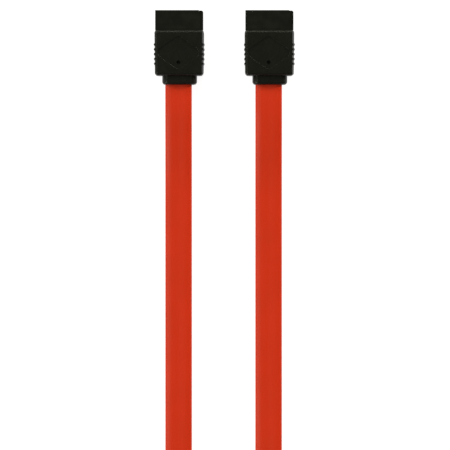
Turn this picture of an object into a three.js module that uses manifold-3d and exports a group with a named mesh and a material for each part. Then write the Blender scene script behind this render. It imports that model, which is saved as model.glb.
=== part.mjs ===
// A flat data cable for a computer drive, half a metre from nose to nose, lying on a table with both plugs side by side.
// Each plug is a moulded contact housing with a keyed slot and seven sprung contacts. Behind it the cable's two shielded
// pairs fan out to the contact tails inside an inner mould, and a soft outer mould closes round it all and grips the cable.
// Units are millimetres. +X is to the right, both noses point along +Y, and +Z is up from the table. The origin is on the
// table, midway between the two plugs and halfway along them.

import * as THREE from 'three';
import { mergeVertices } from 'three/addons/utils/BufferGeometryUtils.js';
import Module from 'manifold-3d';

// Contacts, seven in a row
const contactCount = 7;
const contactPitch = 1.27;
const contactWidth = 0.6;
const contactThickness = 0.18;
const contactAir = 0.08; // on each side of a contact in its groove
const contactProud = 0.26; // how far the crest stands up into the slot
const crestBack = 2.1; // from the nose's front to the crest
const tipReach = 0.95; // from the crest to the rounded-down tip
const tipDrop = 0.62;
const tailLength = 2.4; // behind the housing

// The slot that the drive's blade enters, an L with its leg at the right
const slotEnd = 1.475; // beyond the outer contacts' centres
const slotHeight = 1.31;
const slotDepth = 5.6;
const keyWidth = 1.3;
const keyRise = 1.19;
const leadIn = 0.25; // chamfer round the mouth
const grooveDepth = 1.0; // contact grooves, below the slot's floor
const grooveLip = 0.6; // left in front of each groove

// Contact housing: the nose and the shank that the outer mould holds
const noseLength = 5.74;
const noseSideWall = 1.715;
const noseFloor = 0.7;
const noseRoof = 0.7;
const noseEdge = 0.3; // chamfer along the long edges
const ledgeWidth = 0.85; // polarising ledge along the right top edge
const ledgeDrop = 0.5;
const cornerWidth = 1.29; // the nose's front stands back a little at its right end
const cornerBack = 0.13;
const cornerSlant = 0.35; // cut across the outer corner there
const shankLength = 3.5;
const shankInset = 0.8;
const shankDrop = 0.25;
const shankRound = 0.4;

// Outer mould: body, grip ribs, sunken pad and the collar round the cable
const bodyLength = 13.34;
const bodyStep = 0.215; // beyond the nose on each side
const bodyRise = 1.05; // beyond the nose above and below
const bodyTaper = 0.14; // narrower on each side at the rear
const bodyEdge = 0.55;
const frontCornerExtra = 0.08; // the corners in plan are a little rounder than the edges
const rearCornerExtra = 0.4;
const ribCount = 5;
const ribPitch = 1.4;
const ribFirst = 4.28; // from the body's front to the first rib
const ribWidth = 0.72;
const ribProud = 0.24;
const ribShort = 0.2; // below the body's top and above its underside
const padHalfWidth = 7.15; // to the corners before they are rounded
const padHalfLength = 4.74;
const padBack = 6.67; // from the body's front to the pad's centre
const padSink = 0.22;
const padSideRound = 1.05;
const padEndRound = 1.5;
const gateBack = 9.5; // from the body's front to the moulding gate's pit
const gateDiameter = 1.1;
const gateDepth = 1.1;
const collarLength = 2.62;
const collarSideWall = 1.195;
const collarOffset = 0.12; // the collar sits a little right of the plug's middle
const collarRise = 1.25;
const collarRound = 1.7; // round its section's corners
const collarEdge = 0.9; // round its rear rim

// Inner mould round the wires
const innerLength = 6.5;
const innerEnd = 1.2; // beyond the outer contacts' centres
const innerDrop = 0.65;
const innerRound = 0.5;

// Cable: a flat jacket over two shielded pairs, each with a drain wire on either side
const cableWidth = 7.76;
const cableThickness = 2.2;
const cableRound = 0.9;
const cableOffset = -0.2; // the cable, pad and gate sit left of the plug's middle
const pairOffset = 1.66; // each pair's centre from the cable's
const coreDiameter = 0.95;
const corePitch = 1.05;
const conductorDiameter = 0.4;
const drainDiameter = 0.36;
const foilThickness = 0.08;
const foilLength = 1.5;
const bendLength = 2.4; // in which the wires fan out and come down to the contacts
const weldLength = 2.1; // of bare wire along a contact's tail

// Clearances
const fit = 0.05; // between moulded pieces
const wireFit = 0.06; // round each wire, bore and shield
const cableFit = 0.12; // round the cable in the outer mould

// Place of the plugs
const plugSpacing = 26.3;
const cableExit = -10.85; // where both collars end

// Sizes that follow
const contactSpan = (contactCount - 1) * contactPitch;
const slotWidth = contactSpan + 2 * slotEnd;
const noseWidth = slotWidth + 2 * noseSideWall;
const noseHeight = noseFloor + grooveDepth + slotHeight + keyRise + noseRoof;
const bodyWidth = noseWidth + 2 * bodyStep;
const bodyHeight = noseHeight + 2 * bodyRise;
const shankWidth = noseWidth - 2 * shankInset;
const shankHeight = noseHeight - 2 * shankDrop;
const innerWidth = contactSpan + 2 * innerEnd;
const innerHeight = noseHeight - 2 * innerDrop;
const drainOffset = corePitch / 2 + coreDiameter / 2 + wireFit + drainDiameter / 2;

// Places along a plug, from the rear forwards
const bodyRear = cableExit + collarLength;
const bodyFront = bodyRear + bodyLength;
const noseFront = bodyFront + noseLength;
const slotRear = noseFront - slotDepth;
const shankRear = bodyFront - shankLength;
const innerFront = shankRear - fit;
const innerRear = innerFront - innerLength;
const jacketEnd = innerRear - fit;
const tailEnd = shankRear - tailLength;

// Heights in a plug
const middle = bodyHeight / 2;
const noseBottom = bodyRise;
const grooveFloor = noseBottom + noseFloor;
const slotFloor = grooveFloor + grooveDepth;
const slotRoof = slotFloor + slotHeight;
const noseTop = noseBottom + noseHeight;
const tailHeight = grooveFloor + grooveDepth / 2;
const tailTop = tailHeight + contactThickness / 2;

// How finely round things are divided
const cutPast = 1; // how far a cutter runs past the face it opens
const cornerSteps = 3;
const wireSides = 8;
const thinWireSides = 6;

// The left half of the cable's route as [outward, y, z, roll in degrees]. It leaves the collar level, comes down to the
// table, runs straight, turns up onto its edge, and swings round in an open loop to the right half, which mirrors it.
const leg = plugSpacing / 2;
const halfRoute = [
  [leg, jacketEnd, middle, 0],
  [leg, cableExit, middle, 0],
  [leg, -19, 3.25, 0],
  [leg, -28, 2.3, 0],
  [leg, -38, 1.4, 0],
  [leg, -50, 1.2, 0],
  [leg, -75, 1.2, 0],
  [leg, -100, 1.2, 0],
  [leg, -122, 1.3, 0],
  [leg, -133, 2.05, 15],
  [leg, -144, 3.3, 45],
  [leg, -155, 3.95, 75],
  [leg, -166, 4.0, 90],
  [14.7, -176.2, 4.0, 90],
  [19.2, -184.8, 4.0, 90],
  [23.6, -195.1, 4.0, 90],
  [23.2, -205.4, 4.0, 90],
  [18.4, -214.6, 4.0, 90],
  [10.1, -221.0, 4.0, 90],
];
const loopBottom = [0, -223.2, 4.0, 90];
const cableSteps = 76;

const material = (color, roughness, metalness = 0) => new THREE.MeshStandardMaterial({ color, roughness, metalness });
const blackNylon = material(0x1c1c17, 0.45);
const blackVinyl = material(0x1a1a15, 0.6);
const redVinyl = material(0xc63018, 0.4);
const clearPolyethylene = material(0xd9d6cb, 0.55);
const whitePolyethylene = material(0xefeee8, 0.5);
const goldPlate = material(0xd4a83c, 0.25, 1);
const tinnedCopper = material(0xb8b4aa, 0.35, 1);
const aluminiumFoil = material(0xc9ccd0, 0.3, 1);

const wasm = await Module();
wasm.setup();

// A closed three.js geometry as a solid that can be joined and cut.
function solid(geometry) {
  const bare = geometry.clone();
  bare.deleteAttribute('normal');
  bare.deleteAttribute('uv');
  const merged = mergeVertices(bare);
  const vertProperties = new Float32Array(merged.attributes.position.array);
  const triVerts = new Uint32Array(merged.index.array);
  return new wasm.Manifold(new wasm.Mesh({ numProp: 3, vertProperties, triVerts }));
}

// The first geometry joined with the others, then cut by the cutters.
function carve(joined, cutters) {
  const [first, ...others] = joined.map(solid);
  const whole = others.reduce((sum, part) => sum.add(part), first);
  const cut = cutters.map(solid).reduce((left, cutter) => left.subtract(cutter), whole);
  const { vertProperties, triVerts } = cut.getMesh();
  const geometry = new THREE.BufferGeometry();
  geometry.setAttribute('position', new THREE.BufferAttribute(vertProperties, 3));
  geometry.setIndex(new THREE.BufferAttribute(triVerts, 1));
  geometry.computeVertexNormals();
  return geometry;
}

// An outline through [x, y, radius] corners, listed anticlockwise. A corner with no radius is sharp.
function outline(corners, steps = cornerSteps) {
  const points = corners.flatMap(([x, y, radius], i) => {
    const corner = new THREE.Vector2(x, y);
    if (!radius) return [corner];
    const back = new THREE.Vector2(...corners.at(i - 1)).sub(corner).normalize();
    const ahead = new THREE.Vector2(...corners[(i + 1) % corners.length]).sub(corner).normalize();
    const half = back.angleTo(ahead) / 2;
    const start = back.clone().multiplyScalar(radius / Math.tan(half)).add(corner);
    const centre = back.clone().add(ahead).setLength(radius / Math.sin(half)).add(corner);
    const sweep = Math.sign(ahead.cross(back)) * (Math.PI - 2 * half);
    return Array.from({ length: steps + 1 }, (_, k) => start.clone().rotateAround(centre, (sweep * k) / steps));
  });
  return new THREE.Shape(points);
}

// A rectangle with rounded corners round the point [x, y].
function roundedBox(width, height, radius, [x, y] = [0, 0], steps = cornerSteps) {
  const corners = [[-1, -1], [1, -1], [1, 1], [-1, 1]];
  return outline(corners.map(([right, up]) => [x + (right * width) / 2, y + (up * height) / 2, radius]), steps);
}

// An outline drawn in X and Y, raised from one height to another, with its rims rounded.
function raise(shape, low, high, edge = 0, edgeSteps = 1) {
  const geometry = new THREE.ExtrudeGeometry(shape, {
    depth: high - low - 2 * edge,
    bevelEnabled: edge > 0,
    bevelThickness: edge,
    bevelSize: edge,
    bevelOffset: -edge,
    bevelSegments: edgeSteps,
  });
  return geometry.translate(0, 0, low + edge);
}

// An outline drawn in X and Z, drawn out along Y from rear to front.
function drawOut(shape, rear, front, edge = 0, edgeSteps = 1) {
  return raise(shape, -front, -rear, edge, edgeSteps).rotateX(Math.PI / 2);
}

// A plain block given by its centre in X and its ends in Y and Z.
function block(x, width, [rear, front], [low, high]) {
  return new THREE.BoxGeometry(width, front - rear, high - low).translate(x, (rear + front) / 2, (low + high) / 2);
}

// A path through fixed stations, with the direction that a section's width takes at each of them.
class Route extends THREE.Curve {
  constructor(stations, across) {
    super();
    this.stations = stations;
    this.across = across;
  }

  getSpacedPoints() {
    return this.stations;
  }

  computeFrenetFrames() {
    const last = this.stations.length - 1;
    const tangents = this.stations.map((station, i) => {
      const ahead = this.stations[Math.min(i + 1, last)];
      const behind = this.stations[Math.max(i - 1, 0)];
      return ahead.clone().sub(behind).normalize();
    });
    const normals = tangents.map((tangent, i) => {
      return this.across[i].clone().addScaledVector(tangent, -this.across[i].dot(tangent)).normalize();
    });
    const binormals = tangents.map((tangent, i) => tangent.clone().cross(normals[i]));
    return { tangents, normals, binormals };
  }
}

// A section swept through stations; its width stays along X unless other directions are given.
function sweep(section, stations, across = stations.map(() => new THREE.Vector3(1, 0, 0))) {
  return new THREE.ExtrudeGeometry(section, {
    steps: stations.length - 1,
    extrudePath: new Route(stations, across),
  });
}

function circle(diameter, sides) {
  const turn = (2 * Math.PI) / sides;
  const points = Array.from({ length: sides }, (_, k) => {
    return new THREE.Vector2(Math.cos((k + 0.5) * turn), Math.sin((k + 0.5) * turn)).multiplyScalar(diameter / 2);
  });
  return new THREE.Shape(points);
}

const contactPlaces = Array.from({ length: contactCount }, (_, i) => (i - (contactCount - 1) / 2) * contactPitch);

function slotOutline() {
  const right = slotWidth / 2;
  const legLeft = right - keyWidth;
  const legTop = slotRoof + keyRise;
  return outline([
    [-right, slotFloor, 0],
    [right, slotFloor, 0],
    [right, legTop, 0],
    [legLeft, legTop, 0],
    [legLeft, slotRoof, 0],
    [-right, slotRoof, 0],
  ]);
}

// The nose from the front: a bar with chamfered edges and the polarising ledge along its right top edge.
function noseOutline() {
  const right = noseWidth / 2;
  const ledge = right - ledgeWidth;
  const ledgeTop = noseTop - ledgeDrop;
  return outline([
    [-right, noseBottom + noseEdge, 0],
    [-right + noseEdge, noseBottom, 0],
    [right - noseEdge, noseBottom, 0],
    [right, noseBottom + noseEdge, 0],
    [right, ledgeTop - noseEdge, 0],
    [right - noseEdge, ledgeTop, 0],
    [ledge, ledgeTop, 0],
    [ledge, noseTop, 0],
    [-right + noseEdge, noseTop, 0],
    [-right, noseTop - noseEdge, 0],
  ]);
}

function contactHousing() {
  const nose = drawOut(noseOutline(), bodyFront + fit, noseFront);
  const shankShape = roundedBox(shankWidth, shankHeight, shankRound, [0, middle]);
  const shank = drawOut(shankShape, shankRear, bodyFront + 2 * fit);
  const slot = drawOut(slotOutline(), slotRear, noseFront + cutPast);
  const mouth = new THREE.ExtrudeGeometry(slotOutline(), {
    depth: cutPast,
    bevelThickness: leadIn,
    bevelSize: leadIn,
    bevelSegments: 1,
  });
  mouth.rotateX(Math.PI / 2).translate(0, noseFront + cutPast, 0);
  const right = noseWidth / 2;
  const stepBack = noseFront - cornerBack;
  const frontCut = outline([
    [right - cornerWidth, stepBack, 0],
    [right - cornerSlant, stepBack, 0],
    [right + cutPast, stepBack - cornerSlant - cutPast, 0],
    [right + cutPast, noseFront + cutPast, 0],
    [right - cornerWidth, noseFront + cutPast, 0],
  ]);
  const cutters = [slot, mouth, raise(frontCut, noseBottom - cutPast, noseTop + cutPast)];
  const roomWidth = contactWidth + 2 * contactAir;
  const tailRoom = contactThickness / 2 + contactAir;
  for (const x of contactPlaces) {
    const groove = block(x, roomWidth, [slotRear, noseFront - grooveLip], [grooveFloor, slotFloor + fit]);
    const tailWay = [tailHeight - tailRoom, tailHeight + tailRoom];
    cutters.push(groove, block(x, roomWidth, [shankRear - cutPast, slotRear + fit], tailWay));
  }
  return carve([nose, shank], cutters);
}

// One contact: a flat tail, a beam that climbs to its crest in the slot, and a tip turned down out of the blade's way.
function contact() {
  const section = roundedBox(contactWidth, contactThickness, 0);
  const at = (y, z) => new THREE.Vector3(0, y, z);
  const root = at(slotRear + contactThickness, tailHeight);
  const crest = at(noseFront - crestBack, slotFloor + contactProud - contactThickness / 2);
  const tip = at(crest.y + tipReach, crest.z - tipDrop);
  const between = (root.y + crest.y) / 2;
  const climb = new THREE.CubicBezierCurve3(root, at(between, root.z), at(between, crest.z), crest);
  const turnDown = new THREE.QuadraticBezierCurve3(crest, at(tip.y, crest.z), tip);
  const stations = [at(tailEnd, tailHeight), ...climb.getPoints(5), ...turnDown.getPoints(4).slice(1)];
  return sweep(section, stations);
}

// The eight wires from left to right, each with its place across the cable and where it meets the contacts.
function wires() {
  const core = corePitch / 2;
  const inPair = [
    { kind: 'drain', lane: -drainOffset },
    { kind: 'core', lane: -core },
    { kind: 'core', lane: core },
    { kind: 'drain', lane: drainOffset },
  ];
  const besideMiddle = drainDiameter / 2 + wireFit;
  const targets = [...contactPlaces.slice(0, 3), -besideMiddle, besideMiddle, ...contactPlaces.slice(-3)];
  return [-1, 1].flatMap((side) => inPair.map((wire) => ({ ...wire, lane: wire.lane + side * pairOffset })))
    .map((wire, i) => ({ ...wire, target: targets[i] }));
}

// A wire's stations: straight out of the jacket, over and down to the contact, then straight along the contact's tail.
function wireStations({ lane, target }, diameter) {
  const start = jacketEnd + fit + wireFit;
  const bendStart = start + foilLength + fit;
  const bendEnd = bendStart + bendLength;
  const from = new THREE.Vector3(cableOffset + lane, bendStart, middle);
  const to = new THREE.Vector3(target, bendEnd, tailTop + wireFit / 2 + diameter / 2);
  const halfway = new THREE.Vector3(0, bendLength / 2, 0);
  const bend = new THREE.CubicBezierCurve3(from, from.clone().add(halfway), to.clone().sub(halfway), to);
  return [
    new THREE.Vector3(from.x, start, from.z),
    ...bend.getPoints(3),
    new THREE.Vector3(to.x, bendEnd + weldLength, to.z),
  ];
}

function wireRun(wire, diameter, gap = 0) {
  const stations = wireStations(wire, diameter);
  stations[0].y -= gap;
  stations.at(-1).y += gap;
  return sweep(circle(diameter + 2 * gap, thinWireSides), stations);
}

// A core's insulation ends where the wire has come down to its contact.
function insulation(wire, gap = 0, hollow = true) {
  const section = circle(coreDiameter + 2 * gap, wireSides);
  if (hollow) section.holes.push(circle(conductorDiameter + 2 * wireFit, wireSides));
  const stations = wireStations(wire, conductorDiameter).slice(0, -1);
  stations[0].y -= gap;
  stations.at(-1).y += gap;
  return sweep(section, stations);
}

// The foil round one pair, from the jacket's end to where the wires part.
function foil(side, gap = 0, hollow = true) {
  const insideHeight = coreDiameter + 2 * wireFit;
  const insideWidth = 2 * drainOffset + drainDiameter + 2 * wireFit;
  const wall = 2 * (foilThickness + gap);
  const centre = [cableOffset + side * pairOffset, middle];
  const outside = roundedBox(insideWidth + wall, insideHeight + wall, (insideHeight + wall) / 2 - fit, centre);
  if (hollow) outside.holes.push(roundedBox(insideWidth, insideHeight, insideHeight / 2 - fit, centre));
  const start = jacketEnd + fit + wireFit;
  return drawOut(outside, start - gap, start + foilLength + gap);
}

function innerMould() {
  const shape = roundedBox(innerWidth, innerHeight, innerRound, [0, middle]);
  const cutters = [foil(-1, wireFit, false), foil(1, wireFit, false)];
  for (const wire of wires()) {
    if (wire.kind === 'core') cutters.push(insulation(wire, wireFit, false));
    cutters.push(wireRun(wire, wire.kind === 'core' ? conductorDiameter : drainDiameter, wireFit));
  }
  const tailRoom = contactThickness / 2 + contactAir;
  for (const x of contactPlaces) {
    const along = [tailEnd - contactAir, innerFront + cutPast];
    cutters.push(block(x, contactWidth + 2 * contactAir, along, [tailHeight - tailRoom, tailHeight + tailRoom]));
  }
  return carve([drawOut(shape, innerRear, innerFront)], cutters);
}

function outerMould() {
  const front = bodyWidth / 2;
  const rear = front - bodyTaper;
  const plan = outline([
    [-rear, bodyRear, bodyEdge + rearCornerExtra],
    [rear, bodyRear, bodyEdge + rearCornerExtra],
    [front, bodyFront, bodyEdge + frontCornerExtra],
    [-front, bodyFront, bodyEdge + frontCornerExtra],
  ]);
  const body = raise(plan, 0, bodyHeight, bodyEdge, 3);
  const collarWidth = cableWidth + 2 * collarSideWall;
  const collarHeight = cableThickness + 2 * collarRise;
  const collarShape = roundedBox(collarWidth, collarHeight, collarRound, [collarOffset, middle], 4);
  const collar = drawOut(collarShape, cableExit, bodyRear + 2 * collarEdge, collarEdge, 3);
  const ribs = Array.from({ length: ribCount }, (_, i) => {
    const y = bodyFront - ribFirst - i * ribPitch;
    const share = (bodyFront - y) / bodyLength;
    const width = bodyWidth - 2 * bodyTaper * share + 2 * ribProud;
    const shape = roundedBox(width, ribWidth, ribWidth * 0.45, [0, y], 2);
    return raise(shape, ribShort, bodyHeight - ribShort, ribShort / 2);
  });

  const padPlan = outline([
    [cableOffset, bodyFront - padBack - padHalfLength, padEndRound],
    [cableOffset + padHalfWidth, bodyFront - padBack, padSideRound],
    [cableOffset, bodyFront - padBack + padHalfLength, padEndRound],
    [cableOffset - padHalfWidth, bodyFront - padBack, padSideRound],
  ]);
  const pad = raise(padPlan, bodyHeight - padSink, bodyHeight + cutPast);
  const gate = raise(circle(gateDiameter, 12), bodyHeight - gateDepth, bodyHeight + cutPast);
  gate.translate(cableOffset, bodyFront - gateBack, 0);
  const shankShape = roundedBox(shankWidth + 2 * fit, shankHeight + 2 * fit, shankRound, [0, middle]);
  const shankRoom = drawOut(shankShape, shankRear - fit, bodyFront + cutPast);
  const innerShape = roundedBox(innerWidth + 2 * fit, innerHeight + 2 * fit, innerRound, [0, middle]);
  const innerRoom = drawOut(innerShape, innerRear - fit, shankRear);
  const cableRoom = drawOut(cableSection(cableFit, [cableOffset, middle]), cableExit - cutPast, innerRear);
  return carve([body, collar, ...ribs], [pad, gate, shankRoom, innerRoom, cableRoom]);
}

function cableSection(gap = 0, centre = [0, 0]) {
  return roundedBox(cableWidth + 2 * gap, cableThickness + 2 * gap, cableRound + gap, centre, 2);
}

// The jacket follows its route, and its roll about the route turns the flat ribbon onto its edge.
function cableJacket() {
  const left = halfRoute.map(([outward, y, z, roll]) => [cableOffset - outward, y, z, roll]);
  const right = halfRoute.map(([outward, y, z, roll]) => [cableOffset + outward, y, z, roll]).reverse();
  const all = [...left, [cableOffset + loopBottom[0], ...loopBottom.slice(1)], ...right];
  const route = new THREE.CatmullRomCurve3(all.map(([x, y, z]) => new THREE.Vector3(x, y, z)), false, 'catmullrom');
  const rolls = new THREE.SplineCurve(all.map(([, , , roll], i) => new THREE.Vector2(i, roll)));
  const shares = Array.from({ length: cableSteps + 1 }, (_, i) => i / cableSteps);
  const stations = shares.map((share) => route.getPoint(share));
  const up = new THREE.Vector3(0, 0, 1);
  const across = shares.map((share) => {
    const tangent = route.getTangent(share);
    const roll = THREE.MathUtils.degToRad(rolls.getPoint(share).y);
    return up.clone().cross(tangent).normalize().applyAxisAngle(tangent, roll);
  });
  return sweep(cableSection(), stations, across);
}

function piece(name, geometry, pieceMaterial, x = 0) {
  const mesh = new THREE.Mesh(geometry, pieceMaterial);
  mesh.name = name;
  mesh.position.x = x;
  return mesh;
}

// One plug, with the wires inside it. Both plugs are the same.
function plug(side) {
  const group = new THREE.Group();
  group.add(piece(`${side}_outer_mould`, outerMould(), blackVinyl));
  group.add(piece(`${side}_contact_housing`, contactHousing(), blackNylon));
  group.add(piece(`${side}_inner_mould`, innerMould(), clearPolyethylene));
  contactPlaces.forEach((x, i) => group.add(piece(`${side}_contact_${i + 1}`, contact(), goldPlate, x)));
  const cores = wires().filter((wire) => wire.kind === 'core');
  const drains = wires().filter((wire) => wire.kind === 'drain');
  cores.forEach((wire, i) => {
    group.add(piece(`${side}_core_insulation_${i + 1}`, insulation(wire), whitePolyethylene));
    group.add(piece(`${side}_core_conductor_${i + 1}`, wireRun(wire, conductorDiameter), tinnedCopper));
  });
  drains.forEach((wire, i) => {
    group.add(piece(`${side}_drain_wire_${i + 1}`, wireRun(wire, drainDiameter), tinnedCopper));
  });
  [-1, 1].forEach((pair, i) => group.add(piece(`${side}_foil_shield_${i + 1}`, foil(pair), aluminiumFoil)));
  return group;
}

const dataCable = new THREE.Group();
const leftPlug = plug('left');
leftPlug.position.x = -plugSpacing / 2;
const rightPlug = plug('right');
rightPlug.position.x = plugSpacing / 2;
dataCable.add(leftPlug, rightPlug, piece('cable_jacket', cableJacket(), redVinyl));

export default dataCable;
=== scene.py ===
# %% [markdown]
# # A flat red data cable with two black plugs
#
# The object is a cable for a computer drive: a flat red jacket, and on each end a plug made of a hard black nose and a
# soft black grip moulded round it. It is photographed from straight above on a white table. In this lesson the cable,
# the grips and the noses get their finished shape in Blender, and the contacts and wires inside keep the shape that
# they have in the loaded model and get a finish.

# %% Load the model that everything is fitted to
import math

import bmesh
import bpy
from mathutils import Matrix, Vector


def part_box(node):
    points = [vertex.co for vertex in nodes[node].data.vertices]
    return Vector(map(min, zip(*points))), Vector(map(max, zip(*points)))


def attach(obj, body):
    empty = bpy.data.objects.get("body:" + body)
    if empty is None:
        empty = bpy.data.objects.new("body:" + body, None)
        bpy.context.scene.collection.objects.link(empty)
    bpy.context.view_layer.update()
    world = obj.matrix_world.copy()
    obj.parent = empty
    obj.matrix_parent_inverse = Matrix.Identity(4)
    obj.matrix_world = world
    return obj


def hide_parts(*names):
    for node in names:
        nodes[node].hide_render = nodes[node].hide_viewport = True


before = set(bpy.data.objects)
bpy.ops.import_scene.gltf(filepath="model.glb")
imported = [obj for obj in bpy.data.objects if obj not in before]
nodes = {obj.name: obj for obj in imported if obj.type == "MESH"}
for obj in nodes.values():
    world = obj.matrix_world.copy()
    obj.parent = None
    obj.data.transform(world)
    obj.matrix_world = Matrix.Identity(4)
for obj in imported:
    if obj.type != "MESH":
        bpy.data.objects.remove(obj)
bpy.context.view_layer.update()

MM = 0.001

# %% [markdown]
# ## The camera
#
# The photo looks straight down, and both plugs show their tops and hardly any side, so the camera stood far away. A long
# lens from more than a metre does the same. The nose of a plug is 14.0 mm wide and covers 48.1 pixels, which gives the
# size of a pixel on the table, and the plugs' middle is at a known pixel, which gives the place.

# %% Set up the camera above the table
PIXEL = 14.0 / 48.1 * MM
PHOTO_SIDE = 450
ORIGIN_PIXEL = Vector((224.3, 47.2))  # the pixel at which the model's origin lies
CAMERA_HEIGHT = 1.3
SENSOR = 36.0
GRIP_TOP = 7.0 * MM  # the level at which the pixel's size holds

camera_data = bpy.data.cameras.new("overhead_camera")
camera_data.sensor_width = SENSOR
camera_data.lens = SENSOR * (CAMERA_HEIGHT - GRIP_TOP) / (PHOTO_SIDE * PIXEL)
camera = bpy.data.objects.new("overhead_camera", camera_data)
middle_pixel = PHOTO_SIDE / 2
camera.location = (
    (middle_pixel - ORIGIN_PIXEL.x) * PIXEL,
    (ORIGIN_PIXEL.y - middle_pixel) * PIXEL,
    CAMERA_HEIGHT,
)
bpy.context.scene.collection.objects.link(camera)
bpy.context.scene.camera = camera
print("lens", round(camera_data.lens), "mm, camera at", tuple(camera.location))

# %% [markdown]
# ## The cable's route
#
# The cable is flat, 7.76 mm wide and 2.2 mm thick, so it bends easily across its thin side and hardly at all across its
# wide one. Both runs lie flat and straight under the camera. Further down, outside the picture, each run turns up onto
# its edge, and the two meet in one open loop. The half route is a short list of points, and a smooth spline through
# them and their mirror image gives the whole of it. The fourth number is the roll that turns the ribbon about its line.

# %% List the route and lay a spline through it
LEG = 13.15
CABLE_SIDE = -0.2  # the cable leaves its plug a little left of the middle
EXIT_Y = -10.85
JACKET_END_Y = -4.99
EXIT_Z = 3.5
HALF_ROUTE = [
    (LEG, JACKET_END_Y, EXIT_Z, 0),
    (LEG, EXIT_Y, EXIT_Z, 0),
    (LEG, -19, 3.25, 0),
    (LEG, -28, 2.3, 0),
    (LEG, -38, 1.4, 0),
    (LEG, -50, 1.2, 0),
    (LEG, -75, 1.2, 0),
    (LEG, -100, 1.2, 0),
    (LEG, -122, 1.3, 0),
    (LEG, -133, 2.05, 15),
    (LEG, -144, 3.3, 45),
    (LEG, -155, 3.95, 75),
    (LEG, -166, 4.0, 90),
    (14.7, -176.2, 4.0, 90),
    (19.2, -184.8, 4.0, 90),
    (23.6, -195.1, 4.0, 90),
    (23.2, -205.4, 4.0, 90),
    (18.4, -214.6, 4.0, 90),
    (10.1, -221.0, 4.0, 90),
]
LOOP_BOTTOM = (0, -223.2, 4.0, 90)
STEPS_IN_SPAN = 10

left_half = [Vector((CABLE_SIDE - x, y, z, roll)) for x, y, z, roll in HALF_ROUTE]
right_half = [Vector((CABLE_SIDE + x, y, z, roll)) for x, y, z, roll in reversed(HALF_ROUTE)]
bottom = Vector((CABLE_SIDE + LOOP_BOTTOM[0], *LOOP_BOTTOM[1:]))
route = [*left_half, bottom, *right_half]


def on_spline(points, place):
    """The point of a smooth spline through the points; place 2.5 is halfway from the third to the fourth."""
    span = min(int(place), len(points) - 2)
    t = place - span
    start, end = points[span], points[span + 1]
    before = points[span - 1] if span > 0 else 2 * start - end
    after = points[span + 2] if span + 2 < len(points) else 2 * end - start
    leaving, arriving = (end - before) / 2, (after - start) / 2
    bend = 3 * (end - start) - 2 * leaving - arriving
    settle = 2 * (start - end) + leaving + arriving
    return start + t * (leaving + t * (bend + t * settle))


def station(points, place):
    """The ribbon's place and turn there, as a matrix: X across the ribbon, Y through it, and Z along it."""
    here = on_spline(points, place)
    ahead = on_spline(points, min(place + 0.01, len(points) - 1))
    behind = on_spline(points, max(place - 0.01, 0))
    along = (ahead - behind).xyz.normalized()
    across = Vector((0, 0, 1)).cross(along).normalized()
    across.rotate(Matrix.Rotation(math.radians(here.w), 3, along))
    through = along.cross(across)
    turn = Matrix((across, through, along)).transposed().to_4x4()
    return Matrix.Translation(here.xyz) @ turn


places = [i / STEPS_IN_SPAN for i in range((len(route) - 1) * STEPS_IN_SPAN + 1)]
stations = [station(route, place) for place in places]
centreline = [s.translation * MM for s in stations]
cable_length = sum((b - a).length for a, b in zip(centreline, centreline[1:]))
print(len(stations), "stations, cable length", round(cable_length, 4), "m")

# %% [markdown]
# ## The jacket
#
# The jacket is extruded over two pairs of wires that lie side by side. It is 2.2 mm thick over each pair and a trace
# thinner between them and towards its rounded edges, and in raking light those two low crests are what the eye reads.
# The section is drawn once as a ring of vertices and extruded from station to station, as the real jacket comes out of
# its die. Each vertex keeps its place across and along the jacket in two attributes, which the material reads.

# %% Draw the section and extrude it along the route
CABLE_WIDTH = 7.76
CABLE_THICKNESS = 2.2
PAIR_OFFSET = 1.66
CREST_HEIGHT = 0.045
SHOULDER_FROM = 1.9  # where the flat top starts to fall away
SHOULDER_RADIUS = 5.0
SHOULDER_STEPS = 6
CREST_STEPS = 12
EDGE_STEPS = 6


def jacket_section():
    """The ring of points round the jacket: two low crests, a gently falling shoulder and a tight edge on each side."""
    half_width, half_thickness = CABLE_WIDTH / 2, CABLE_THICKNESS / 2
    shoulder_end = 3.5
    steepest = math.asin((shoulder_end - SHOULDER_FROM) / SHOULDER_RADIUS)
    edge_radius = (half_width - shoulder_end) / (1 - math.sin(steepest))
    quarter = []
    for i in range(CREST_STEPS):
        x = SHOULDER_FROM * i / CREST_STEPS
        crest = 0.5 - 0.5 * math.cos(math.pi * min(x / PAIR_OFFSET, 1))
        quarter.append((x, half_thickness - CREST_HEIGHT * (1 - crest)))
    for i in range(SHOULDER_STEPS):
        tilt = steepest * i / SHOULDER_STEPS
        fall = SHOULDER_RADIUS * (1 - math.cos(tilt))
        quarter.append((SHOULDER_FROM + SHOULDER_RADIUS * math.sin(tilt), half_thickness - fall))
    shoulder_height = half_thickness - SHOULDER_RADIUS * (1 - math.cos(steepest))
    for i in range(EDGE_STEPS + 1):
        tilt = steepest + (math.pi / 2 - steepest) * i / EDGE_STEPS
        x = half_width - edge_radius * (1 - math.sin(tilt))
        quarter.append((x, shoulder_height - edge_radius * (math.cos(steepest) - math.cos(tilt))))
    upper = [(x, z) for x, z in reversed(quarter)] + [(-x, z) for x, z in quarter[1:]]
    lower = [(x, -z) for x, z in reversed(upper)]
    return [Vector((x, z, 0)) for x, z in upper + lower]


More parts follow.
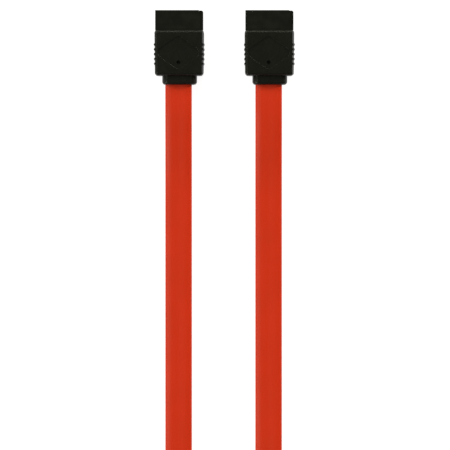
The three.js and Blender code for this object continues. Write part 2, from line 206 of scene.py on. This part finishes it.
def extrude_along(section, matrices):
    """A closed tube: the section's ring is extruded and moved from one station to the next, and its ends are filled."""
    bm = bmesh.new()
    across = bm.verts.layers.float.new("across_mm")
    along = bm.verts.layers.float.new("along_mm")
    ring = [bm.verts.new(matrices[0] @ point) for point in section]
    for vert, point in zip(ring, section):
        vert[across] = point.x
    edges = [bm.edges.new((a, b)) for a, b in zip(ring, ring[1:] + ring[:1])]
    bmesh.ops.edgeloop_fill(bm, edges=edges)
    travelled = 0
    for here, there in zip(matrices, matrices[1:]):
        travelled += (there.translation - here.translation).length
        grown = bmesh.ops.extrude_edge_only(bm, edges=edges)["geom"]
        edges = [e for e in grown if isinstance(e, bmesh.types.BMEdge)]
        new_ring = [v for v in grown if isinstance(v, bmesh.types.BMVert)]
        for vert in new_ring:
            vert[along] = travelled
        bmesh.ops.transform(bm, matrix=there @ here.inverted(), verts=new_ring)
    bmesh.ops.edgeloop_fill(bm, edges=edges)
    bmesh.ops.recalc_face_normals(bm, faces=bm.faces)
    return bm


def make_object(name, bm, place=Matrix.Identity(4), smooth_angle=40):
    """An object at the origin from a bmesh in millimetres, moved to its place, with soft shading under an angle."""
    bmesh.ops.transform(bm, matrix=Matrix.Scale(MM, 4) @ place, verts=bm.verts)
    mesh = bpy.data.meshes.new(name)
    bm.to_mesh(mesh)
    bm.free()
    mesh.shade_smooth()
    mesh.set_sharp_from_angle(angle=math.radians(smooth_angle))
    made = bpy.data.objects.new(name, mesh)
    bpy.context.scene.collection.objects.link(made)
    return made


flat_cable = make_object("flat_cable", extrude_along(jacket_section(), stations), smooth_angle=60)
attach(flat_cable, "root")
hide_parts("cable_jacket")
print("jacket", len(flat_cable.data.polygons), "faces")

# %% [markdown]
# ## Blocks with rounded edges
#
# Nearly everything on the plugs is a block with a flat outline and rounded corners and rims. One helper starts from the
# outline's vertices, raises them, and bevels first the upright corners and then the rims, so the same few numbers give
# a grip, a rib or a cutter. The plugs are modelled in millimetres, because Blender's booleans work best on shapes that
# aren't tiny, and are brought to metres at the end.


# %% Raise an outline into a rounded block
def bevel(bm, edges, radius, segments):
    bmesh.ops.bevel(
        bm,
        geom=edges,
        offset=radius,
        segments=segments,
        profile=0.5,
        affect="EDGES",
        clamp_overlap=True,
        material=-1,
    )


def block(outline, low, high, low_rim=0.0, high_rim=0.0, segments=4):
    """An outline of (x, y, radius) corners raised from one height to another, with rounded rims if they are asked for."""
    bm = bmesh.new()
    base = bm.faces.new([bm.verts.new((x, y, low)) for x, y, radius in outline])
    grown = bmesh.ops.extrude_face_region(bm, geom=[base])["geom"]
    raised = [v for v in grown if isinstance(v, bmesh.types.BMVert)]
    bmesh.ops.translate(bm, vec=(0, 0, high - low), verts=raised)
    for i, (x, y, radius) in enumerate(outline):
        if radius:
            corner = Vector((x, y))
            to_last = Vector(outline[i - 1][:2]) - corner
            to_next = Vector(outline[(i + 1) % len(outline)][:2]) - corner
            upright = [e for e in bm.edges if all((v.co.xy - corner).length < 1e-5 for v in e.verts)]
            bevel(bm, upright, radius / math.tan(to_last.angle(to_next) / 2), segments)
    for height, rim in ((low, low_rim), (high, high_rim)):
        if rim:
            bevel(bm, [e for e in bm.edges if all(abs(v.co.z - height) < 1e-4 for v in e.verts)], rim, segments)
    bmesh.ops.recalc_face_normals(bm, faces=bm.faces)
    return bm


def rectangle(width, depth, radius=0.0, centre=(0, 0)):
    x, y = centre
    signs = ((-1, -1), (1, -1), (1, 1), (-1, 1))
    return [(x + right * width / 2, y + up * depth / 2, radius) for right, up in signs]


def laid(bm):
    """Turns a block that was drawn upright so that its outline's X and Y lie in X and Z, and its height along Y."""
    bmesh.ops.rotate(bm, cent=(0, 0, 0), matrix=Matrix.Rotation(math.radians(90), 3, "X"), verts=bm.verts)
    return bm


# %% [markdown]
# ## Joining and cutting
#
# A moulded piece is one body with hollows, so the blocks are joined and cut with the Boolean modifier's exact solver.
# The result replaces the mesh, and the cutters are deleted.


# %% Join and cut blocks
def temporary(bm):
    mesh = bpy.data.meshes.new("block")
    bm.to_mesh(mesh)
    bm.free()
    made = bpy.data.objects.new("block", mesh)
    bpy.context.scene.collection.objects.link(made)
    return made


def bake_modifiers(piece):
    """Replaces the object's mesh by what its modifiers make of it."""
    evaluated = piece.evaluated_get(bpy.context.evaluated_depsgraph_get())
    finished = bpy.data.meshes.new_from_object(evaluated)
    piece.modifiers.clear()
    piece.data = finished


def carve(base, joined, cutters):
    """The base block with others joined to it and cutters taken out of it, as a bmesh in millimetres."""
    piece = temporary(base)
    for operation, blocks in (("UNION", joined), ("DIFFERENCE", cutters)):
        for other in blocks:
            tool = temporary(other)
            modifier = piece.modifiers.new(operation, "BOOLEAN")
            modifier.operation = operation
            modifier.solver = "EXACT"
            modifier.object = tool
            bake_modifiers(piece)
            bpy.data.objects.remove(tool)
    bm = bmesh.new()
    bm.from_mesh(piece.data)
    bpy.data.objects.remove(piece)
    bmesh.ops.remove_doubles(bm, verts=bm.verts, dist=1e-4)
    bmesh.ops.dissolve_degenerate(bm, edges=bm.edges, dist=1e-4)
    return bm


# %% [markdown]
# ## The soft grip
#
# The grip is one piece of soft vinyl, moulded over the nose's shank, the wires and the cable's end: a flat body that is
# a trace narrower at the rear, five ribs down each side for the fingers, a sunken pad with a small gate pit, and a
# collar that holds the cable. A fine seam runs round its middle, where the halves of the tool meet. The upper part of
# the right side leans in, and in the photo that slope mirrors the table as a pale line down the grip. A wedge cuts it
# into the body and into each rib before they are joined, so the ribs lean in too and stay proud of it. The body's
# length and place are read from the loaded model, and the rest are sizes measured in the photo.

# %% Model the grip
GRIP_LENGTH = 13.34
GRIP_FRONT_HALF = 7.215
GRIP_REAR_HALF = 7.075
GRIP_HEIGHT = 7.0
GRIP_RIM = 0.85
FRONT_CORNER = 0.9
REAR_CORNER = 0.95
RIBS = 5
RIB_PITCH = 1.4
FIRST_RIB = 4.28
RIB_WIDTH = 0.72
RIB_PROUD = 0.24
RIB_SHORT = 0.2
LEAN_WIDTH = 0.53  # the upper part of the right side leans in by this much
LEAN_HEIGHT = 1.12
PAD_HALF_WIDTH = 7.28
PAD_HALF_LENGTH = 5.09
PAD_BACK = 6.67
PAD_SINK = 0.22
PAD_SIDE_CORNER = 1.8
PAD_END_CORNER = 1.5
GATE_BACK = 9.5
GATE_DIAMETER = 1.15
GATE_DEPTH = 1.15
COLLAR_WIDTH = 10.15
COLLAR_SIDE = 0.12  # the collar sits a little right of the middle
COLLAR_HEIGHT = 4.7
COLLAR_ROUND = 1.7
COLLAR_RIM = 0.9
SEAM_PROUD = 0.04
SEAM_HEIGHT = 0.09
SHANK_ROOM = (12.5, 4.5)
CUT_PAST = 1.0

mould_low, mould_high = (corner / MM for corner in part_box("left_outer_mould"))
inner_low, inner_high = (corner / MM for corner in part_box("left_inner_mould"))
grip_front, collar_end = mould_high.y, mould_low.y
grip_rear = grip_front - GRIP_LENGTH
middle_height = GRIP_HEIGHT / 2


def disc(diameter, sides, centre=(0, 0)):
    turns = [2 * math.pi * i / sides for i in range(sides)]
    x, y = centre
    return [(x + diameter / 2 * math.cos(t), y + diameter / 2 * math.sin(t), 0) for t in turns]


def grip_half_width(back):
    """Half the grip's width at a distance behind its front."""
    return GRIP_FRONT_HALF + (GRIP_REAR_HALF - GRIP_FRONT_HALF) * back / GRIP_LENGTH


def grip_plan(proud=0.0, front_back=0.0):
    rear, front = GRIP_REAR_HALF + proud, grip_half_width(front_back) + proud
    return [
        (-rear, grip_rear - proud, REAR_CORNER),
        (rear, grip_rear - proud, REAR_CORNER),
        (front, grip_front - front_back, FRONT_CORNER),
        (-front, grip_front - front_back, FRONT_CORNER),
    ]


def lean_cutter(proud=0.0):
    """A wedge along the right upper edge. It takes away what stands outside the leaning part of that side."""
    top, foot = GRIP_HEIGHT + LEAN_HEIGHT, GRIP_HEIGHT - 2 * LEAN_HEIGHT
    edge, outside = GRIP_FRONT_HALF + proud, GRIP_FRONT_HALF + CUT_PAST
    section = [
        (edge - 2 * LEAN_WIDTH, top, 0),
        (edge + LEAN_WIDTH, foot, 0),
        (outside, foot, 0),
        (outside, top, 0),
    ]
    wedge = laid(block(section, -grip_front - CUT_PAST, -grip_rear + CUT_PAST))
    taper = Matrix.Rotation(math.atan2(GRIP_REAR_HALF - GRIP_FRONT_HALF, GRIP_LENGTH), 3, "Z")
    bmesh.ops.rotate(wedge, cent=(edge, grip_front, 0), matrix=taper, verts=wedge.verts)
    return wedge


def soft_grip():
    body = carve(block(grip_plan(), 0, GRIP_HEIGHT, GRIP_RIM, GRIP_RIM, 6), [], [lean_cutter()])
    seam_low = middle_height - SEAM_HEIGHT / 2
    seam = block(grip_plan(SEAM_PROUD, 0.2), seam_low, seam_low + SEAM_HEIGHT)
    collar_shape = rectangle(COLLAR_WIDTH, COLLAR_HEIGHT, COLLAR_ROUND, (COLLAR_SIDE, middle_height))
    collar = laid(block(collar_shape, -grip_rear - COLLAR_RIM, -collar_end, 0, COLLAR_RIM, 6))
    ribs = []
    for i in range(RIBS):
        back = FIRST_RIB + i * RIB_PITCH
        width = 2 * (grip_half_width(back) + RIB_PROUD)
        shape = rectangle(width, RIB_WIDTH, 0.32, (0, grip_front - back))
        rib = block(shape, RIB_SHORT, GRIP_HEIGHT - RIB_SHORT, 0.12, 0.12, 3)
        ribs.append(carve(rib, [], [lean_cutter(RIB_PROUD)]))
    pad_y = grip_front - PAD_BACK
    pad_plan = [
        (CABLE_SIDE, pad_y - PAD_HALF_LENGTH, PAD_END_CORNER),
        (CABLE_SIDE + PAD_HALF_WIDTH, pad_y, PAD_SIDE_CORNER),
        (CABLE_SIDE, pad_y + PAD_HALF_LENGTH, PAD_END_CORNER),
        (CABLE_SIDE - PAD_HALF_WIDTH, pad_y, PAD_SIDE_CORNER),
    ]
    pad = block(pad_plan, GRIP_HEIGHT - PAD_SINK, GRIP_HEIGHT + CUT_PAST, 0.1, 0, 6)
    gate_shape = disc(GATE_DIAMETER, 24, (CABLE_SIDE, grip_front - GATE_BACK))
    gate = block(gate_shape, GRIP_HEIGHT - GATE_DEPTH, GRIP_HEIGHT + CUT_PAST)
    room_shape = rectangle(*SHANK_ROOM, 0.4, (0, middle_height))
    room = laid(block(room_shape, -grip_front - CUT_PAST, -inner_low.y))
    cable_shape = [(CABLE_SIDE + p.x, middle_height + p.y, 0) for p in jacket_section()]
    cable_room = laid(block(cable_shape, -inner_low.y - CUT_PAST, -collar_end + CUT_PAST))
    return carve(body, [collar, seam, *ribs], [pad, gate, room, cable_room])


def round_off(piece, width, segments=2, angle=32):
    """Softens the edges that moulding leaves crisp, and keeps the flat faces flat in the shading."""
    edges = piece.modifiers.new("round_off", "BEVEL")
    edges.limit_method = "ANGLE"
    edges.angle_limit = math.radians(angle)
    edges.width = width * MM
    edges.segments = segments
    bake_modifiers(piece)
    piece.data.shade_smooth()
    piece.data.set_sharp_from_angle(angle=math.radians(50))
    normals = piece.modifiers.new("flat_faces", "WEIGHTED_NORMAL")
    normals.keep_sharp = True
    normals.weight = 100
    bake_modifiers(piece)


PLUG_PLACES = {"left": -LEG, "right": LEG}
grip_shape = soft_grip()
grips = {}
for side, x in PLUG_PLACES.items():
    grip = make_object(f"{side}_soft_grip", grip_shape.copy(), Matrix.Translation((x, 0, 0)))
    round_off(grip, 0.08)
    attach(grip, "root")
    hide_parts(f"{side}_outer_mould")
    grips[side] = grip
    print(grip.name, len(grip.data.polygons), "faces")

# %% [markdown]
# ## The hard nose
#
# The nose is moulded in hard nylon, so its edges are crisper than the grip's. From above it shows a plain top with a
# lower ledge down its right edge. At that end the front stands back a little and its outer corner is cut at a slant.
# In front is the L-shaped slot, which lets the plug in only one way round. It has a chamfer round its mouth and a
# groove for each contact. The nose is drawn as the section that its tool leaves, and everything hollow is cut from it.

# %% Model the nose
CONTACTS = 7
CONTACT_PITCH = 1.27
GROOVE_WIDTH = 0.76
SLOT_HALF = 5.285
SLOT_HEIGHT = 1.31
SLOT_DEPTH = 5.6
KEY_WIDTH = 1.3
KEY_RISE = 1.19
LEAD_IN = 0.25
GROOVE_DEPTH = 1.0
GROOVE_LIP = 0.6
NOSE_FLOOR = 0.7
NOSE_EDGE = 0.08
LEDGE_WIDTH = 0.85
LEDGE_DROP = 0.5
CORNER_WIDTH = 1.29
CORNER_BACK = 0.13
CORNER_SLANT = 0.35
SHANK_INSET = 0.8
SHANK_DROP = 0.25
TAIL_WAY = 0.34

nose_low, nose_high = (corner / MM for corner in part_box("left_contact_housing"))
nose_half = (nose_high.x - nose_low.x) / 2
groove_floor = nose_low.z + NOSE_FLOOR
slot_floor = groove_floor + GROOVE_DEPTH
slot_roof = slot_floor + SLOT_HEIGHT
contact_places = [(i - (CONTACTS - 1) / 2) * CONTACT_PITCH for i in range(CONTACTS)]


def slot_shape(grow=0.0):
    """The slot's L from the front, or the same L grown on every side."""
    left, right = -SLOT_HALF - grow, SLOT_HALF + grow
    key_left = SLOT_HALF - KEY_WIDTH - grow
    return [
        (left, slot_floor - grow, 0),
        (right, slot_floor - grow, 0),
        (right, slot_roof + KEY_RISE + grow, 0),
        (key_left, slot_roof + KEY_RISE + grow, 0),
        (key_left, slot_roof + grow, 0),
        (left, slot_roof + grow, 0),
    ]


def mouth_cutter():
    """A frustum that chamfers the slot's mouth: the L, and the grown L in front of it, bridged."""
    bm = bmesh.new()
    front = nose_high.y
    rings = []
    for y, grow in ((front - LEAD_IN, 0.0), (front + CUT_PAST, LEAD_IN + CUT_PAST)):
        ring = [bm.verts.new((x, y, z)) for x, z, radius in slot_shape(grow)]
        bm.faces.new(ring)
        rings += [bm.edges.get((a, b)) for a, b in zip(ring, ring[1:] + ring[:1])]
    bmesh.ops.bridge_loops(bm, edges=rings)
    bmesh.ops.recalc_face_normals(bm, faces=bm.faces)
    return bm


def hard_nose():
    right = nose_half
    ledge = right - LEDGE_WIDTH
    top, foot = nose_high.z, nose_low.z
    shoulder = top - LEDGE_DROP
    section = [
        (-right, foot + NOSE_EDGE, 0),
        (-right + NOSE_EDGE, foot, 0),
        (right - NOSE_EDGE, foot, 0),
        (right, foot + NOSE_EDGE, 0),
        (right, shoulder - NOSE_EDGE, 0),
        (right - NOSE_EDGE, shoulder, 0),
        (ledge, shoulder, 0),
        (ledge, top, 0),
        (-right + NOSE_EDGE, top, 0),
        (-right, top - NOSE_EDGE, 0),
    ]
    front = nose_high.y
    nose = laid(block(section, -front, -grip_front + 0.02))
    shank_size = (2 * (nose_half - SHANK_INSET), top - foot - 2 * SHANK_DROP)
    shank_shape = rectangle(*shank_size, 0.4, (0, middle_height))
    shank = laid(block(shank_shape, -grip_front - 0.1, -nose_low.y))
    slot = laid(block(slot_shape(), -front - CUT_PAST, -front + SLOT_DEPTH))
    step_back = front - CORNER_BACK
    corner_plan = [
        (right - CORNER_WIDTH, step_back, 0),
        (right - CORNER_SLANT, step_back, 0),
        (right + CUT_PAST, step_back - CORNER_SLANT - CUT_PAST, 0),
        (right + CUT_PAST, front + CUT_PAST, 0),
        (right - CORNER_WIDTH, front + CUT_PAST, 0),
    ]
    corner_cut = block(corner_plan, foot - CUT_PAST, top + CUT_PAST)
    cutters = [slot, mouth_cutter(), corner_cut]
    tail_height = groove_floor + GROOVE_DEPTH / 2
    for x in contact_places:
        groove = rectangle(GROOVE_WIDTH, GROOVE_DEPTH + 0.1, 0, (x, groove_floor + GROOVE_DEPTH / 2 + 0.05))
        cutters.append(laid(block(groove, -front + GROOVE_LIP, -front + SLOT_DEPTH)))
        tail_way = rectangle(GROOVE_WIDTH, TAIL_WAY, 0, (x, tail_height))
        cutters.append(laid(block(tail_way, -front + SLOT_DEPTH - 0.1, -nose_low.y + CUT_PAST)))
    return carve(nose, [shank], cutters)


nose_shape = hard_nose()
noses = {}
for side, x in PLUG_PLACES.items():
    nose = make_object(f"{side}_hard_nose", nose_shape.copy(), Matrix.Translation((x, 0, 0)), 30)
    round_off(nose, 0.05)
    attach(nose, "root")
    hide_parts(f"{side}_contact_housing")
    noses[side] = nose
    print(nose.name, len(nose.data.polygons), "faces")

# %% [markdown]
# ## Colours and nodes
#
# Every colour is written as the sRGB value that an eye would name, and turned into the linear value that the renderer
# needs. One small function adds a node with its settings and links, so each finish below reads as a list.


# %% Helpers for the finishes
def srgb(code):
    """A linear colour from an sRGB hex code such as #c63018."""
    parts = [int(code[i : i + 2], 16) / 255 for i in (1, 3, 5)]
    return (*(p / 12.92 if p <= 0.04045 else ((p + 0.055) / 1.055) ** 2.4 for p in parts), 1.0)


def add_node(tree, kind, inputs=None, **settings):
    """Adds a node, sets its settings, and links or sets its inputs."""
    node = tree.nodes.new(kind)
    for name, value in settings.items():
        setattr(node, name, value)
    for name, value in (inputs or {}).items():
        if isinstance(value, bpy.types.NodeSocket):
            tree.links.new(value, node.inputs[name])
        else:
            node.inputs[name].default_value = value
    return node


def start_material(name, roughness, metallic=0.0, **sockets):
    """A material with a Principled shader, and its node tree."""
    material = bpy.data.materials.new(name)
    material.use_nodes = True
    shader = material.node_tree.nodes["Principled BSDF"]
    shader.inputs["Roughness"].default_value = roughness
    shader.inputs["Metallic"].default_value = metallic
    for socket, value in sockets.items():
        shader.inputs[socket.replace("_", " ")].default_value = value
    return material, material.node_tree, shader


def grain(tree, size_mm, detail=3.0):
    """A noise whose spots are about that size, fixed to the object."""
    place = add_node(tree, "ShaderNodeTexCoord")
    return add_node(
        tree,
        "ShaderNodeTexNoise",
        {"Vector": place.outputs["Object"], "Scale": 1 / (size_mm * MM), "Detail": detail},
    )


def spread(tree, value, low, high):
    """Maps a noise's middle range onto low to high."""
    return add_node(
        tree,
        "ShaderNodeMapRange",
        {"Value": value, "From Min": 0.35, "From Max": 0.65, "To Min": low, "To Max": high},
    ).outputs["Result"]


def mixed(tree, factor, first, second):
    """One colour blended into another."""
    mix = add_node(tree, "ShaderNodeMix", {"Factor": factor}, data_type="RGBA")
    mix.inputs[6].default_value = first
    mix.inputs[7].default_value = second
    return mix.outputs[2]


def bumped(tree, shader, height, depth_mm, strength=1.0):
    """Turns a height of 0 to 1 into relief of that depth."""
    bump = add_node(tree, "ShaderNodeBump", {"Height": height, "Distance": depth_mm * MM, "Strength": strength})
    tree.links.new(bump.outputs["Normal"], shader.inputs["Normal"])


# %% [markdown]
# ## Soft black vinyl
#
# The grip is plasticised PVC. Its tool is spark-eroded, which leaves a fine even grain of about 0.05 mm, so the surface
# is a soft warm black that scatters what it reflects. The grain is drawn at 0.3 mm, or it wouldn't show in the picture.


# %% Finish the grips
def soft_black_vinyl():
    material, tree, shader = start_material("soft_black_vinyl", 0.38, Specular_IOR_Level=0.3)
    fine = grain(tree, 0.3).outputs["Fac"]
    broad = grain(tree, 4.0).outputs["Fac"]
    colour = mixed(tree, spread(tree, fine, 0.0, 1.0), srgb("#080905"), srgb("#121310"))
    tree.links.new(colour, shader.inputs["Base Color"])
    tree.links.new(spread(tree, broad, 0.36, 0.4), shader.inputs["Roughness"])
    bumped(tree, shader, fine, 0.018)
    return material


def finish_piece(piece, material):
    piece.data.materials.clear()
    piece.data.materials.append(material)


vinyl = soft_black_vinyl()
for grip in grips.values():
    finish_piece(grip, vinyl)

# %% [markdown]
# ## Hard black nylon
#
# The nose is glass-filled nylon from a smooth tool. It is as black as the grip, with a closer sheen and a faint flow
# pattern of a few millimetres where the melt ran along the walls.


# %% Finish the noses
def hard_black_nylon():
    material, tree, shader = start_material("hard_black_nylon", 0.35, Specular_IOR_Level=0.35)
    fine = grain(tree, 0.25).outputs["Fac"]
    flow = grain(tree, 2.5, 2.0).outputs["Fac"]
    colour = mixed(tree, spread(tree, flow, 0.0, 1.0), srgb("#0b0c09"), srgb("#11120e"))
    tree.links.new(colour, shader.inputs["Base Color"])
    tree.links.new(spread(tree, flow, 0.33, 0.37), shader.inputs["Roughness"])
    bumped(tree, shader, fine, 0.008)
    return material


nylon = hard_black_nylon()
for nose in noses.values():
    finish_piece(nose, nylon)

# %% [markdown]
# ## Red vinyl jacket
#
# The jacket is extruded PVC in a warm signal red. The die leaves very fine lines along it, which stretch its highlights
# lengthways, and the surface has an even satin gloss. The lines follow the jacket's own across and along attributes, so
# they turn with the ribbon.


# %% Finish the cable
def red_vinyl():
    material, tree, shader = start_material("extruded_red_vinyl", 0.38, Specular_IOR_Level=0.35)
    across = add_node(tree, "ShaderNodeAttribute", attribute_name="across_mm").outputs["Fac"]
    along = add_node(tree, "ShaderNodeAttribute", attribute_name="along_mm").outputs["Fac"]
    slow = add_node(tree, "ShaderNodeMath", {0: along, 1: 0.02}, operation="MULTIPLY").outputs[0]
    unrolled = add_node(tree, "ShaderNodeCombineXYZ", {"X": across, "Y": slow}).outputs[0]
    die_lines = add_node(
        tree, "ShaderNodeTexNoise", {"Vector": unrolled, "Scale": 1 / 0.35, "Detail": 2.0}
    ).outputs["Fac"]
    cloud = grain(tree, 9.0, 2.0).outputs["Fac"]
    colour = mixed(tree, spread(tree, cloud, 0.0, 1.0), srgb("#d3310f"), srgb("#d83210"))
    tree.links.new(colour, shader.inputs["Base Color"])
    tree.links.new(spread(tree, die_lines, 0.36, 0.42), shader.inputs["Roughness"])
    bumped(tree, shader, die_lines, 0.006)
    return material


finish_piece(flat_cable, red_vinyl())

# %% [markdown]
# ## Inside the plugs
#
# The contacts are stamped from a copper alloy strip and plated with gold, which shows as fine marks across the strip.
# Behind them are tinned wires, foamed white polyethylene round the signal wires, aluminium foil round each pair, and a
# block of natural polyethylene that holds them all. They keep the loaded model's shapes.


# %% Finish the contacts, wires and inner moulds
def gold_flash():
    material, tree, shader = start_material("gold_flash_on_copper_alloy", 0.28, 1.0)
    marks = grain(tree, 0.12, 4.0).outputs["Fac"]
    colour = mixed(tree, spread(tree, marks, 0.0, 1.0), srgb("#c99a3a"), srgb("#e3bd62"))
    tree.links.new(colour, shader.inputs["Base Color"])
    tree.links.new(spread(tree, marks, 0.22, 0.34), shader.inputs["Roughness"])
    bumped(tree, shader, marks, 0.004)
    return material


def tinned_copper():
    material, tree, shader = start_material("tinned_copper_wire", 0.35, 1.0)
    marks = grain(tree, 0.2, 3.0).outputs["Fac"]
    colour = mixed(tree, spread(tree, marks, 0.0, 1.0), srgb("#a9a69c"), srgb("#cfccc3"))
    tree.links.new(colour, shader.inputs["Base Color"])
    tree.links.new(spread(tree, marks, 0.3, 0.42), shader.inputs["Roughness"])
    return material


def foamed_polyethylene():
    material, tree, shader = start_material("foamed_white_polyethylene", 0.5, Subsurface_Weight=0.15)
    cells = grain(tree, 0.15, 2.0).outputs["Fac"]
    colour = mixed(tree, spread(tree, cells, 0.0, 1.0), srgb("#e9e8e2"), srgb("#f6f5f0"))
    tree.links.new(colour, shader.inputs["Base Color"])
    bumped(tree, shader, cells, 0.01)
    return material


def natural_polyethylene():
    material, tree, shader = start_material("natural_polyethylene", 0.45, Subsurface_Weight=0.3)
    cloud = grain(tree, 2.0, 2.0).outputs["Fac"]
    colour = mixed(tree, spread(tree, cloud, 0.0, 1.0), srgb("#d2cfc4"), srgb("#e2dfd6"))
    tree.links.new(colour, shader.inputs["Base Color"])
    bumped(tree, shader, cloud, 0.02)
    return material


def aluminium_foil():
    material, tree, shader = start_material("aluminium_foil", 0.3, 1.0)
    creases = grain(tree, 0.6, 4.0).outputs["Fac"]
    colour = mixed(tree, spread(tree, creases, 0.0, 1.0), srgb("#bfc2c6"), srgb("#dfe2e6"))
    tree.links.new(colour, shader.inputs["Base Color"])
    bumped(tree, shader, creases, 0.05)
    return material


inner_finishes = {
    "_contact_": gold_flash(),
    "_core_conductor_": tinned_copper(),
    "_core_insulation_": foamed_polyethylene(),
    "_foil_shield_": aluminium_foil(),
    "_inner_mould": natural_polyethylene(),
}
inner_finishes["_drain_wire_"] = inner_finishes["_core_conductor_"]
replaced = {"cable_jacket", *(f"{side}_{part}" for side in PLUG_PLACES for part in ("outer_mould", "contact_housing"))}
for name, node in nodes.items():
    if name in replaced:
        continue
    finish = next(material for part, material in inner_finishes.items() if part in name)
    finish_piece(node, finish)
print(len(nodes) - len(replaced), "loaded pieces finished")

# %% [markdown]
# ## Table and light
#
# The photo shows pure white with no shadow on it, which a lit panel of opal acrylic gives. So the floor glows, and its
# own colour is a middle grey, on which a shadow hardly shows. It also lights the object from below: the pale line down
# each grip's leaning side is the panel, mirrored. The lamps are soft and a little warm, and most of them stand low all
# round, as the sides of a light tent do, so the flat tops, which mirror what is overhead, stay black. The low ones
# beyond the plugs draw the line on each grip's front rim, and the ones on the left put the pale band on the cable's
# left shoulder. The strengths are the mix that comes closest to the greys measured over the whole photo.

# %% Lay the table and set the lights
TABLE_SIDE = 3.0
WARM = (1.0, 0.98, 0.8)
LAMPS = [  # name, azimuth and elevation in degrees, watts
    ("low_right", 30, 17, 14.8),
    ("low_upper_right", 57, 17, 5.5),
    ("beyond_plugs", 105, 28, 3.6),
    ("low_upper_left", 150, 17, 10.0),
    ("lower_left", 215, 39, 8.6),
    ("high_left", 200, 62, 1.9),
    ("high_beyond", 80, 50, 3.6),
]
LIGHT_AIM = Vector((0, -0.05, 0))
LIGHT_DISTANCE = 1.6
LIGHT_SIDE = 0.35
PANEL_GLOW = 0.95
ROOM_STRENGTH = 0.103

table_mesh = bmesh.new()
bmesh.ops.create_grid(table_mesh, x_segments=2, y_segments=2, size=TABLE_SIDE / 2 / MM)
table = make_object("white_table", table_mesh)
panel, table_tree, table_shader = start_material("opal_acrylic_light_panel", 0.6)
haze = grain(table_tree, 1.5, 2.0).outputs["Fac"]
table_tree.links.new(
    mixed(table_tree, spread(table_tree, haze, 0.0, 1.0), srgb("#76777a"), srgb("#7a7b7e")),
    table_shader.inputs["Base Color"],
)
table_shader.inputs["Emission Color"].default_value = (1, 1, 1, 1)
table_shader.inputs["Emission Strength"].default_value = PANEL_GLOW
finish_piece(table, panel)


def area_light(name, azimuth, elevation, power):
    """A square soft light. Azimuth 0 is to the right of the picture and 90 is above it."""
    light_data = bpy.data.lights.new(name, "AREA")
    light_data.size = LIGHT_SIDE
    light_data.energy = power
    light_data.color = WARM
    light = bpy.data.objects.new(name, light_data)
    a, e = math.radians(azimuth), math.radians(elevation)
    towards = Vector((math.cos(a) * math.cos(e), math.sin(a) * math.cos(e), math.sin(e)))
    light.location = LIGHT_AIM + towards * LIGHT_DISTANCE
    light.rotation_euler = towards.to_track_quat("Z", "Y").to_euler()
    bpy.context.scene.collection.objects.link(light)


for lamp in LAMPS:
    area_light(*lamp)

world = bpy.data.worlds.new("dim_room")
bpy.context.scene.world = world
world.use_nodes = True
background = world.node_tree.nodes["Background"]
background.inputs["Color"].default_value = (*WARM, 1)
background.inputs["Strength"].default_value = ROOM_STRENGTH
bpy.context.scene.view_settings.view_transform = "Standard"
